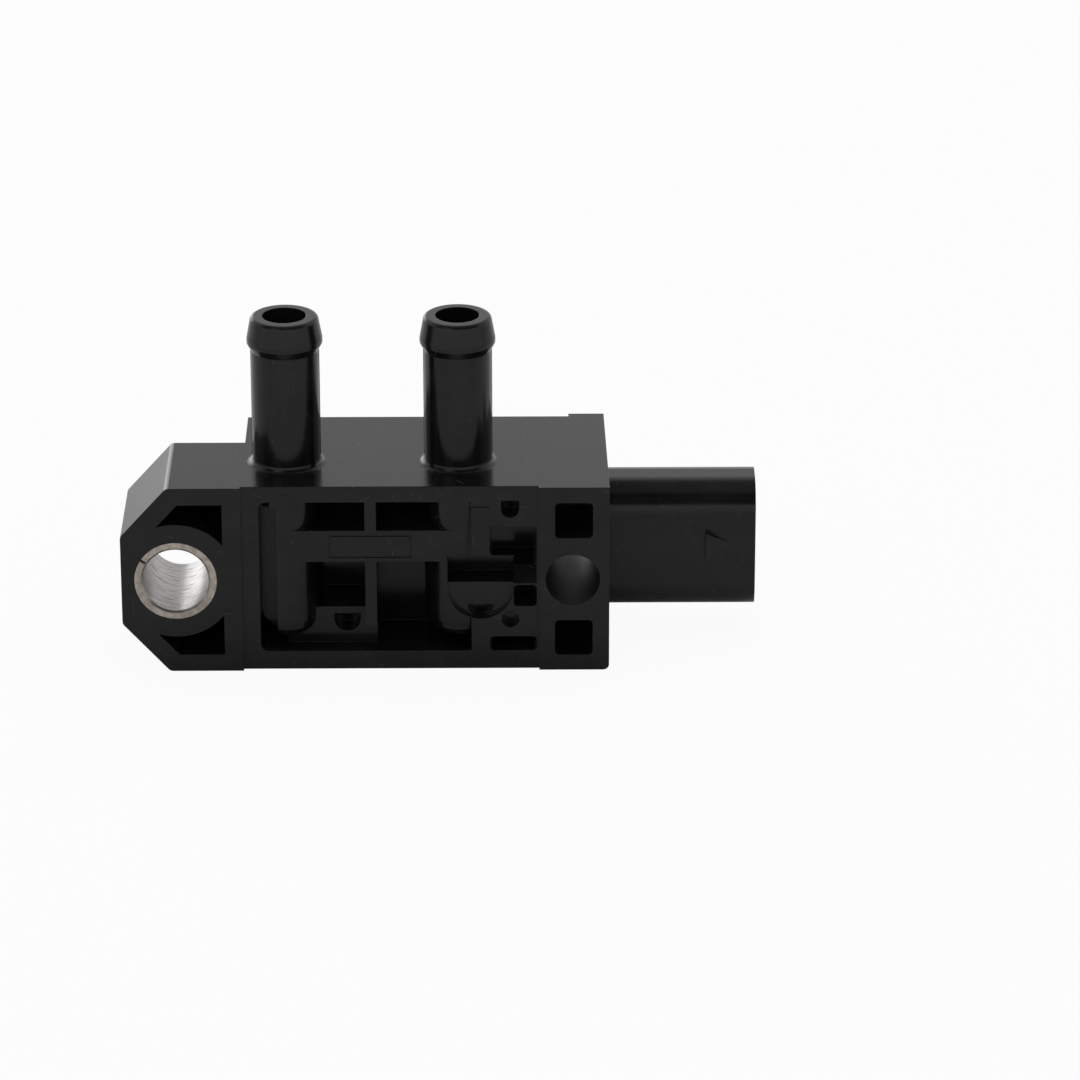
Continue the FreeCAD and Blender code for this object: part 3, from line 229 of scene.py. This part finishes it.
class Recipe:
    """A Geometry Nodes tree with named inputs. What it grows is kept as a plain mesh."""

    KINDS = {int: "Int", float: "Float", tuple: "Vector", bpy.types.Material: "Material"}

    def __init__(self, title, **sizes):
        self.tree = bpy.data.node_groups.new(title, "GeometryNodeTree")
        sockets = self.tree.interface
        sockets.new_socket("Geometry", in_out="INPUT", socket_type="NodeSocketGeometry")
        self.chosen = {}
        for name, value in sizes.items():
            label = name.replace("_", " ")
            kind = "NodeSocket" + self.KINDS[type(value)]
            socket = sockets.new_socket(label, in_out="INPUT", socket_type=kind)
            self.chosen[label] = (socket.identifier, value)
        sockets.new_socket("Geometry", in_out="OUTPUT", socket_type="NodeSocketGeometry")
        self.given = self.tree.nodes.new("NodeGroupInput")
        self.make = Signal(self.tree).node

    def __getitem__(self, label):
        return Signal(self.tree, self.given.outputs[label])

    def row(self, shape, start, step, count, **how):
        """Copies of a shape along a straight line."""
        points = self.make("GeometryNodeMeshLine", {"mode": "OFFSET"},
                           {"Count": count, "Start Location": start, "Offset": step})
        return self.make("GeometryNodeInstanceOnPoints", None, {"Points": points, "Instance": shape, **how})

    def rod(self, path, radius, sides, capped=False):
        """A round rod of this radius along a curve."""
        section = self.make("GeometryNodeCurvePrimitiveCircle", None,
                            {"Resolution": sides, "Radius": radius})
        return self.make("GeometryNodeCurveToMesh", None,
                         {"Curve": path, "Profile Curve": section, "Fill Caps": capped})

    def joined(self, *parts):
        together = self.make("GeometryNodeJoinGeometry")
        for part in parts:
            self.tree.links.new(part.socket, together.socket.node.inputs["Geometry"])
        return together

    def finish(self, geometry):
        """The end of the tree: plain geometry in the given material."""
        solid = self.make("GeometryNodeRealizeInstances", None, {"Geometry": geometry})
        dressed = self.make("GeometryNodeSetMaterial", None, {"Geometry": solid, "Material": self["Material"]})
        end = self.tree.nodes.new("NodeGroupOutput")
        self.tree.links.new(dressed.socket, end.inputs["Geometry"])

    def grow(self, name, mesh=None, **changes):
        """A piece of this tree's making, from a mesh where the tree repeats one."""
        piece = in_scene(name, mesh or bpy.data.meshes.new(name))
        modifier = piece.modifiers.new(name, "NODES")
        modifier.node_group = self.tree
        given = {label.replace("_", " "): value for label, value in changes.items()}
        for label, (identifier, value) in self.chosen.items():
            modifier[identifier] = given.get(label, value)
        evaluated = piece.evaluated_get(bpy.context.evaluated_depsgraph_get())
        grown = bpy.data.meshes.new_from_object(evaluated)
        piece.modifiers.clear()
        piece.data = grown
        return piece


def handed_in(piece):
    """The piece rides on the part's only body."""
    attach(piece, "root")
    return piece


def mesh_of(name, build):
    """A mesh made by a function that fills a bmesh, with its faces turned outwards."""
    same_place = 1e-7
    form = bmesh.new()
    build(form)
    bmesh.ops.remove_doubles(form, verts=form.verts, dist=same_place)
    bmesh.ops.recalc_face_normals(form, faces=form.faces)
    mesh = bpy.data.meshes.new(name)
    form.to_mesh(mesh)
    form.free()
    return mesh


def close_round(form, rings):
    """Faces between closed rings of points, and one over each end."""
    for ring, following in zip(rings, rings[1:]):
        for side in range(len(ring)):
            onward = (side + 1) % len(ring)
            form.faces.new((ring[side], ring[onward], following[onward], following[side]))
    form.faces.new(rings[0])
    form.faces.new(rings[-1])


def bar(form, section, low, high, steps=1):
    """A straight bar with this section in X and Y, in millimetres, from low to high along Z."""
    rings = []
    for step in range(steps + 1):
        height = low + (high - low) * step / steps
        rings.append([form.verts.new(Vector((x, y, height)) * MM) for x, y in section])
    close_round(form, rings)


NIPPLE_AXIS_Y = 8.6
NIPPLE_RADIUS = 4.0
FIRST_NIPPLE_X = 13.0
NIPPLE_PITCH = 20.25


def seam_pair(form):
    for side in (-1, 1):
        root = side * (NIPPLE_RADIUS - 0.03)
        crest = side * (NIPPLE_RADIUS + 0.045)
        bar(form, [(root, -0.09), (crest, -0.02), (crest, 0.02), (root, 0.09)], 12.6, 25.8)


seams = Recipe("parting_lines", First_place=(FIRST_NIPPLE_X * MM, NIPPLE_AXIS_Y * MM, 0.0),
               Step=(NIPPLE_PITCH * MM, 0.0, 0.0), Nipples=2, Material=moulding)
seams.finish(seams.row(seams["Geometry"], seams["First place"], seams["Step"], seams["Nipples"]))
handed_in(seams.grow("nipple_parting_lines", mesh_of("seam_pair", seam_pair)))

# Mounting bush
# A sleeve rolled from steel strip, which takes the clamping force of the bolt so that the plastic doesn't
# creep. Its seam stays open by a hair, the rolls leave fine lines round the bore, and the sawn ends are warm.
steel, place, feed = finish_of("rolled_steel", IOR=2.2)
radius = (place.axis("X") * place.axis("X") + place.axis("Z") * place.axis("Z")).math("SQRT")
in_bore = 1 - radius.between(3.92 * MM, 4.16 * MM)
roll_lines = place.placed((0.8, 6.5, 0.8)).noise(1.6, 3.0, 0.6)
stain = place.noise(1.3, 3.0, 0.6)
pits = place.noise(0.5, 2.0)
bore_tone = roll_lines.between(0.52, 0.66).blend(colour(0.43, 0.42, 0.41), colour(0.17, 0.16, 0.15))
end_tone = stain.between(0.35, 0.65).blend(colour(0.33, 0.29, 0.245), colour(0.50, 0.455, 0.40))
feed(
    Base_Color=in_bore.blend(end_tone, bore_tone),
    Metallic=0.9 + stain * 0.1,
    Roughness=0.40 - in_bore * 0.16 + stain * 0.14 + roll_lines * 0.08,
    Normal=(roll_lines * in_bore * 1.2 + pits * 0.5).bump(0.35, 0.03, soft_edges(place, 0.12)),
)
dress(nodes["mounting_bush"], steel)

# Terminals
# Three blades stamped from brass strip and tinned, moulded into the floor of the socket. The stamping tool
# breaks their edges, and coins the tips so that they find their way into the plug.
tin, place, feed = finish_of("tinned_brass", Metallic=1.0)
drawn = place.placed((0.06, 1, 1)).noise(0.25, 3.0)
bloom = place.noise(0.8, 2.0)
feed(
    Base_Color=bloom.between(0.3, 0.7).blend(colour(0.52, 0.51, 0.48), colour(0.66, 0.65, 0.62)),
    Roughness=0.22 + drawn * 0.2,
    Normal=drawn.bump(0.3, 0.01),
)


def broken_edges(name, node, width, material, segments=2):
    """A piece that stands for a CAD node, with the same faces and its edges rounded."""
    same_place, flat, corner = 1e-6, math.radians(1), math.radians(15)
    form = bmesh.new()
    form.from_mesh(nodes[node].data)
    bmesh.ops.remove_doubles(form, verts=form.verts, dist=same_place)
    bmesh.ops.dissolve_limit(form, angle_limit=flat, verts=form.verts, edges=form.edges)
    sharp = [edge for edge in form.edges if edge.calc_face_angle(0) > corner]
    bmesh.ops.bevel(form, geom=sharp, offset=width * MM, segments=segments, profile=0.5, affect="EDGES",
                    clamp_overlap=True)
    bmesh.ops.triangulate(form, faces=[face for face in form.faces if len(face.verts) > 4])
    mesh = bpy.data.meshes.new(name)
    form.to_mesh(mesh)
    form.free()
    piece = dress(in_scene(name, mesh), material)
    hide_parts(node)
    return handed_in(piece)


for way in ("ground", "signal", "supply"):
    broken_edges(way + "_blade", way + "_terminal", 0.07, tin)

# Solder under the leads
# Each lead lies on a bead of solder that was melted in the same oven as the chips' own. It is bright where
# it froze smooth and frosted elsewhere.
solder, place, feed = finish_of("bright_solder", Metallic=1.0)
frost = place.noise(0.3, 3.0)
feed(
    Base_Color=frost.blend(colour(0.50, 0.51, 0.52), colour(0.68, 0.69, 0.70)),
    Roughness=0.16 + frost * 0.22,
    Normal=frost.bump(0.4, 0.03),
)
for way in ("ground", "signal", "supply"):
    broken_edges(way + "_solder", way + "_joint", 0.1, solder, 3)

# Rear cover
# A satin black plastic plate that closes the electronics chamber. The pins that push it out of its tool
# leave four rings on it, and a sprue was nipped off beside its middle.
cover_plastic, place, feed = finish_of("satin_cover", IOR=1.42)
spark = place.noise(0.22, 4.0, 0.65)
cloud = place.noise(5, 2.0)
rubs = strokes(place, 5.0, 1.6, 0.06, 0.4)
feed(
    Base_Color=(rubs * 0.5).blend(cloud.blend(colour(0.008, 0.008, 0.009), colour(0.013, 0.013, 0.014)),
                                  colour(0.07, 0.07, 0.07)),
    Roughness=0.36 + cloud * 0.12 + spark * 0.06,
    Normal=(spark - rubs * 0.5).bump(0.5, 0.025, soft_edges(place, 0.2)),
)
dress(nodes["rear_cover"], cover_plastic)
dress(nodes["gel_dam"], cover_plastic)
cover_low, cover_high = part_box("rear_cover")
COVER_MIDDLE = (cover_low + cover_high) / 2
COVER_WIDE = cover_high.x - cover_low.x
COVER_TALL = cover_high.z - cover_low.z
UPRIGHT = (math.pi / 2, 0.0, 0.0)

PIN_INSET = 3.5 * MM
rings = Recipe("pin_rings", Middle=(COVER_MIDDLE.x, cover_high.y, COVER_MIDDLE.z),
               Spread_across=COVER_WIDE - 2 * PIN_INSET, Spread_up=COVER_TALL - 2 * PIN_INSET,
               Ring_radius=1.4 * MM, Lip=0.06 * MM, Material=cover_plastic)
corners = rings.make("GeometryNodeMeshGrid", None,
                     {"Size X": rings["Spread across"], "Size Y": rings["Spread up"],
                      "Vertices X": 2, "Vertices Y": 2})
round_path = rings.make("GeometryNodeCurvePrimitiveCircle", None,
                        {"Resolution": 48, "Radius": rings["Ring radius"]})
ring = rings.rod(round_path, rings["Lip"], 8)
placed_rings = rings.make("GeometryNodeInstanceOnPoints", None, {"Points": corners, "Instance": ring})
rings.finish(rings.make("GeometryNodeTransform", None,
                        {"Geometry": placed_rings, "Translation": rings["Middle"], "Rotation": UPRIGHT}))
handed_in(rings.grow("cover_pin_rings"))


def sprue_stub(form):
    """The stub left where the sprue was nipped off, to the right of the cover's middle."""
    aside, sunk, sides, lobes, unevenness = 5, 0.02, 28, 5, 0.12
    profile = [(1.3, 0.0), (1.3, 0.12), (0.9, 0.16), (0.75, 0.34), (0.45, 0.40)]
    rows = []
    for reach, rise in profile:
        row = []
        for turn in range(sides):
            angle = 2 * math.pi * turn / sides
            row.append(form.verts.new(Vector((
                COVER_MIDDLE.x / MM + aside + reach * math.cos(angle),
                cover_high.y / MM - sunk + rise * (1 + unevenness * math.sin(lobes * angle / 2)),
                COVER_MIDDLE.z / MM + reach * math.sin(angle))) * MM))
        rows.append(row)
    close_round(form, rows)


stub = in_scene("cover_sprue_stub", mesh_of("sprue_stub", sprue_stub))
handed_in(dress(stub, cover_plastic))

# Adhesive
# Black silicone that holds the cover down on its land. It was dispensed as one bead, so some of it rises in
# the gap round the cover, unevenly, and skins over there.
silicone, place, feed = finish_of("black_silicone", IOR=1.41)
skin = place.noise(0.7, 3.0)
feed(
    Base_Color=skin.blend(colour(0.010, 0.010, 0.011), colour(0.022, 0.022, 0.024)),
    Roughness=0.26 + skin * 0.25,
    Normal=skin.bump(0.4, 0.05),
)
dress(nodes["cover_seal"], silicone)
dress(nodes["board_seal"], silicone)
GAP = 0.15 * MM
BEAD_POINTS = 420
LUMPS_PER_METRE = 900.0
bead = Recipe("adhesive_bead", Middle=(COVER_MIDDLE.x, cover_high.y - 0.08 * MM, COVER_MIDDLE.z),
              Wide=COVER_WIDE + GAP, Tall=COVER_TALL + GAP, Corner=1.52 * MM, Bead_radius=0.15 * MM,
              Unevenness=0.12 * MM, Seed=3.0, Material=silicone)
edge = bead.make("GeometryNodeCurvePrimitiveQuadrilateral", None,
                 {"Width": bead["Wide"], "Height": bead["Tall"]})
rounded = bead.make("GeometryNodeFilletCurve", {"mode": "POLY"},
                    {"Curve": edge, "Count": 8, "Radius": bead["Corner"]})
even = bead.make("GeometryNodeResampleCurve", {"mode": "COUNT"}, {"Curve": rounded, "Count": BEAD_POINTS})
squeezed = bead.rod(even, bead["Bead radius"], 10)
lumps = bead.make("ShaderNodeTexNoise", {"noise_dimensions": "4D"},
                  {"W": bead["Seed"], "Scale": LUMPS_PER_METRE, "Detail": 2.0}, "Color")
wave = lumps.vector("SUBTRACT", (0.5, 0.5, 0.5))
rise = wave.node("ShaderNodeVectorMath", {"operation": "SCALE"}, {0: wave, "Scale": bead["Unevenness"]})
moved = bead.make("GeometryNodeSetPosition", None, {"Geometry": squeezed, "Offset": rise})
smooth = bead.make("GeometryNodeSetShadeSmooth", None, {"Geometry": moved})
bead.finish(bead.make("GeometryNodeTransform", None,
                      {"Geometry": smooth, "Translation": bead["Middle"], "Rotation": UPRIGHT}))
handed_in(bead.grow("adhesive_bead"))

# Circuit board
# Glass-fibre laminate under green solder resist, which shows the weave and the copper tracks below it. A
# bonding sheet holds it over the rear port.
laminate, place, feed = finish_of("board_laminate", IOR=1.5)
warp = (place.axis("X") * (2 * math.pi / (0.42 * MM))).math("SINE")
weft = (place.axis("Z") * (2 * math.pi / (0.42 * MM))).math("SINE")
weave = (warp * weft) * 0.5 + 0.5
bend = (place.axis("X") * (2 * math.pi / (9 * MM))).math("SINE")
run = place.axis("Z") * (2 * math.pi / (1.3 * MM)) + bend * 2.2
tracks = run.math("SINE").between(0.72, 0.86)
feed(
    Base_Color=tracks.blend(weave.blend(colour(0.010, 0.075, 0.030), colour(0.016, 0.100, 0.040)),
                            colour(0.035, 0.170, 0.070)),
    Roughness=0.28 + weave * 0.1,
    Normal=(weave * 0.6 + tracks * 1.5).bump(0.3, 0.02, soft_edges(place, 0.05)),
)
dress(nodes["circuit_board"], laminate)
BOARD_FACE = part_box("circuit_board")[1].y / MM

# Signal chip
# A black epoxy package with four gull-wing leads down each side. A machine sets it on solder paste, and the
# oven fixes it.
resin, place, feed = finish_of("moulding_resin", IOR=1.5)
fleck = place.noise(0.12, 3.0, 0.7)
feed(
    Base_Color=fleck.blend(colour(0.012, 0.012, 0.013), colour(0.028, 0.028, 0.029)),
    Roughness=0.45 + fleck * 0.2,
    Normal=fleck.bump(0.5, 0.01),
)
broken_edges("signal_chip_package", "signal_chip", 0.09, resin, 1)
chip_low, chip_high = (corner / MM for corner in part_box("signal_chip"))


def gull_wing(form):
    middle = [(-0.15, 0.62), (0.22, 0.62), (0.38, 0.50), (0.46, 0.16), (0.60, 0.05), (1.00, 0.05)]
    thick = 0.075
    upper = [(x, y + thick) for x, y in middle]
    lower = [(x, max(y - thick, 0.0)) for x, y in middle]
    bar(form, upper + lower[::-1], -0.2, 0.2)


LEAD_PITCH = 1.0
lowest_lead = (chip_low.z + chip_high.z) / 2 - 1.5 * LEAD_PITCH
leads = Recipe("chip_leads", First=(chip_high.x * MM, BOARD_FACE * MM, lowest_lead * MM),
               Opposite=(chip_low.x * MM, BOARD_FACE * MM, lowest_lead * MM),
               Pitch=(0.0, 0.0, LEAD_PITCH * MM), Leads=4, Material=tin)
right_leads = leads.row(leads["Geometry"], leads["First"], leads["Pitch"], leads["Leads"])
left_leads = leads.row(leads["Geometry"], leads["Opposite"], leads["Pitch"], leads["Leads"],
                       Rotation=(0.0, math.pi, 0.0))
leads.finish(leads.joined(left_leads, right_leads))
handed_in(leads.grow("signal_chip_leads", mesh_of("gull_wing", gull_wing)))

# Capacitors and resistors
# Tan ceramic capacitors and black-coated resistors, fixed in the same oven. Their end caps run down into
# fillets of solder.
ceramic, place, feed = finish_of("capacitor_ceramic", IOR=1.6)
speckle = place.noise(0.1, 3.0, 0.7)
feed(
    Base_Color=speckle.blend(colour(0.24, 0.15, 0.08), colour(0.36, 0.25, 0.15)),
    Roughness=0.4 + speckle * 0.2,
    Normal=speckle.bump(0.3, 0.01, soft_edges(place, 0.05)),
)


def end_cap(form):
    """A cap of unit height on the left end of a part, with the fillet in front of it."""
    section = [(-0.30, 0.0), (-0.22, 0.06), (-0.10, 0.25), (-0.02, 0.62), (-0.02, 0.98), (0.02, 1.03),
               (0.28, 1.03), (0.31, 0.99), (0.31, 0.0)]
    bar(form, section, -0.42, 0.42, 2)


caps = Recipe("end_caps", First=(0.0, 0.0, 0.0), Part_length=(1.6 * MM, 0.0, 0.0), Part_height=1.0,
              Material=solder)
half_turns = caps.make("GeometryNodeInputIndex") * math.pi
facing = caps.make("ShaderNodeCombineXYZ", None, {"Y": half_turns})
stretch = caps.make("ShaderNodeCombineXYZ", None, {"X": 1.0, "Y": caps["Part height"], "Z": 1.0})
caps.finish(caps.row(caps["Geometry"], caps["First"], caps["Part length"], 2, Rotation=facing, Scale=stretch))
cap_form = mesh_of("end_cap", end_cap)
for name in ("supply_capacitor", "signal_capacitor", "filter_capacitor", "pull_up_resistor", "load_resistor"):
    dress(nodes[name], resin if "resistor" in name else ceramic)
    low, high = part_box(name)
    piece = caps.grow(name + "_caps", cap_form.copy(), First=(low.x, low.y, (low.z + high.z) / 2),
                      Part_length=(high.x - low.x, 0.0, 0.0), Part_height=(high.y - low.y) / MM)
    handed_in(piece)

# Pressure cell
# A silicon die with a thin diaphragm, bonded on a glass pedestal over the rear port and covered by clear gel.
# Fine wires run from its edge down to the board.
glass, place, feed = finish_of("pedestal_glass", IOR=1.47)
seed = place.noise(0.5, 2.0)
feed(
    Base_Color=seed.blend(colour(0.60, 0.66, 0.66), colour(0.72, 0.77, 0.77)),
    Roughness=0.08 + seed * 0.1,
    Alpha=0.5 + seed * 0.2,
    Normal=seed.bump(0.2, 0.01, soft_edges(place, 0.05)),
)
silicon, place, feed = finish_of("polished_silicon", Metallic=1.0)
haze = place.noise(0.3, 2.0)
feed(
    Base_Color=haze.blend(colour(0.20, 0.22, 0.27), colour(0.27, 0.29, 0.34)),
    Roughness=0.06 + haze * 0.08,
    Normal=haze.bump(0.1, 0.005, soft_edges(place, 0.03)),
)
gel, place, feed = finish_of("clear_gel", IOR=1.41)
dimple = place.noise(1.2, 2.0)
feed(
    Base_Color=dimple.blend(colour(0.62, 0.63, 0.60), colour(0.72, 0.73, 0.70)),
    Roughness=0.05 + dimple * 0.08,
    Alpha=0.32 + dimple * 0.12,
    Normal=dimple.bump(0.3, 0.06, soft_edges(place, 0.1)),
)
dress(nodes["die_pedestal"], glass)
dress(nodes["pressure_die"], silicon)
dress(nodes["protective_gel"], gel)
die_low, die_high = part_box("pressure_die")
DIE_MIDDLE = (die_low + die_high) / 2

WIRE_PITCH = 0.6 * MM
wires = Recipe("bond_wires", First=(DIE_MIDDLE.x - 1.5 * WIRE_PITCH, 0.0, DIE_MIDDLE.z),
               Pitch=(WIRE_PITCH, 0.0, 0.0), Wires=4, Leaves=(0.0, die_high.y, 1.3 * MM),
               Crest=(0.0, die_high.y + 0.9 * MM, 2.2 * MM), Lands=(0.0, BOARD_FACE * MM, 2.8 * MM),
               Wire_radius=0.04 * MM, Material=tin)
arch = wires.make("GeometryNodeCurveQuadraticBezier", None,
                  {"Resolution": 14, "Start": wires["Leaves"], "Middle": wires["Crest"],
                   "End": wires["Lands"]})
wire = wires.rod(arch, wires["Wire radius"], 8, capped=True)
upper = wires.row(wire, wires["First"], wires["Pitch"], wires["Wires"])
lower = wires.row(wire, wires["First"], wires["Pitch"], wires["Wires"], Scale=(1.0, 1.0, -1.0))
wires.finish(wires.joined(upper, lower))
bond_wires = wires.grow("bond_wires")
form = bmesh.new()
form.from_mesh(bond_wires.data)
bmesh.ops.recalc_face_normals(form, faces=form.faces)
form.to_mesh(bond_wires.data)
form.free()
handed_in(bond_wires)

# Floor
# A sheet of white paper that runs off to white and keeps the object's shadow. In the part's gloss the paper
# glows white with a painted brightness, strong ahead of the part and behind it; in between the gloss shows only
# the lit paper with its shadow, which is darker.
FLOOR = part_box("housing")[0].z
HALF_FLOOR = 6.0
sheet = bpy.data.meshes.new("floor")
sheet.from_pydata([(across * HALF_FLOOR, back * HALF_FLOOR, FLOOR)
                   for across, back in ((-1, -1), (1, -1), (1, 1), (-1, 1))], [], [(0, 1, 2, 3)])
floor = in_scene("floor", sheet)
paper = bpy.data.materials.new("white_paper")
paper.use_nodes = True
tree = paper.node_tree
shader = tree.nodes["Principled BSDF"]
shader.inputs["Base Color"].default_value = colour(0.80, 0.80, 0.80)
shader.inputs["Roughness"].default_value = 0.9
ray = Signal(tree, tree.nodes.new("ShaderNodeLightPath").outputs["Is Camera Ray"])
run_off = Signal(tree, tree.nodes.new("ShaderNodeTexCoord").outputs["Object"]).axis("Y")
# Painted reflection: for rays off the part's gloss the paper glows white by a share set by place, strong ahead
# of the part and behind it.
painted_gloss_glow = 0.03 + (1 - run_off.between(-0.12, -0.05)) * 0.6 + run_off.between(0.1, 0.4) * 0.96
seen = (ray * 0.94 + ray.sibling("Is Glossy Ray") * painted_gloss_glow + ray.sibling("Is Transmission Ray") * 0.94)
white = ray.node("ShaderNodeEmission", None, {"Color": colour(1, 1, 1), "Strength": 1.0})
mixed = white.node("ShaderNodeMixShader", None, {0: seen, 1: Signal(tree, shader.outputs[0]), 2: white})
tree.links.new(mixed.socket, tree.nodes["Material Output"].inputs["Surface"])
floor.data.materials.append(paper)

# Studio
# White walls round the part, with a dim ceiling and a dark room behind the camera, which its gloss shows as
# dark bands. One wide soft lamp hangs overhead, kept out of the gloss, and weaker ones stand in front and
# behind.
world = bpy.data.worlds.new("studio")
bpy.context.scene.world = world
world.use_nodes = True
tree = world.node_tree
ray = Signal(tree, tree.nodes.new("ShaderNodeLightPath").outputs["Is Camera Ray"])
direction = Signal(tree, tree.nodes.new("ShaderNodeTexCoord").outputs["Generated"])
elevation = direction.axis("Z")
room = ((1 - direction.axis("Y").between(-0.25, 0.0)) * elevation.between(0.2, 0.36)
        * (1 - elevation.between(0.84, 0.96)))
ceiling = elevation.between(0.62, 0.9)
wall_shade = (1 - room * 0.9) * (1 - elevation.between(0.0, 0.6) * 0.24) * (1 - ceiling * 0.68)
reflected = wall_shade.node("ShaderNodeCombineXYZ", None, {"X": wall_shade, "Y": wall_shade, "Z": wall_shade})
lit = ray.sibling("Is Glossy Ray").blend(colour(0.40, 0.40, 0.41), reflected)
straight = (ray + ray.sibling("Is Transmission Ray")).math("MINIMUM", 1.0)
shade = straight.blend(lit, colour(1, 1, 1))
tree.links.new(shade.socket, tree.nodes["Background"].inputs["Color"])


def lamp(name, place, target, size, power):
    """A square soft lamp that faces a point."""
    light = bpy.data.lights.new(name, "AREA")
    light.size = size
    light.energy = power
    thing = in_scene(name, light)
    thing.location = place
    thing.rotation_euler = (Vector(target) - Vector(place)).to_track_quat("-Z", "Y").to_euler()
    return thing


middle = (0.03, 0.01, 0.0)
lamp("overhead_softbox", (0.05, 0.15, 0.75), middle, 0.7, 2.6).visible_glossy = False
lamp("front_fill", (-0.35, -0.6, 0.45), middle, 0.4, 0.5)
lamp("rear_left_panel", (-0.30, 0.62, 0.12), middle, 0.4, 0.8)

# Camera
# A long lens 0.65 m away, looking down on the part by 23 degrees. It was fitted to edges and holes that the
# photograph shows.
PICTURE = 1080
FOCAL_PIXELS = 5500
YAW, PITCH, ROLL = (math.radians(angle) for angle in (0.315, 23.03, -0.067))
STANDS_AT = (0.03958, -0.59332, 0.25731)
lens = bpy.data.cameras.new("camera")
lens.sensor_width = 36
lens.lens = lens.sensor_width * FOCAL_PIXELS / PICTURE
lens.clip_start = 0.05
camera = in_scene("camera", lens)
forward = Vector((math.sin(YAW) * math.cos(PITCH), math.cos(YAW) * math.cos(PITCH), -math.sin(PITCH)))
across = Vector((math.cos(YAW), -math.sin(YAW), 0))
upward = across.cross(forward)
right = across * math.cos(ROLL) + upward * math.sin(ROLL)
top = upward * math.cos(ROLL) - across * math.sin(ROLL)
camera.matrix_world = (Matrix.Translation(STANDS_AT)
                       @ Matrix((right, top, -forward)).transposed().to_4x4())
bpy.context.scene.camera = camera
bpy.context.scene.view_settings.view_transform = "Standard"
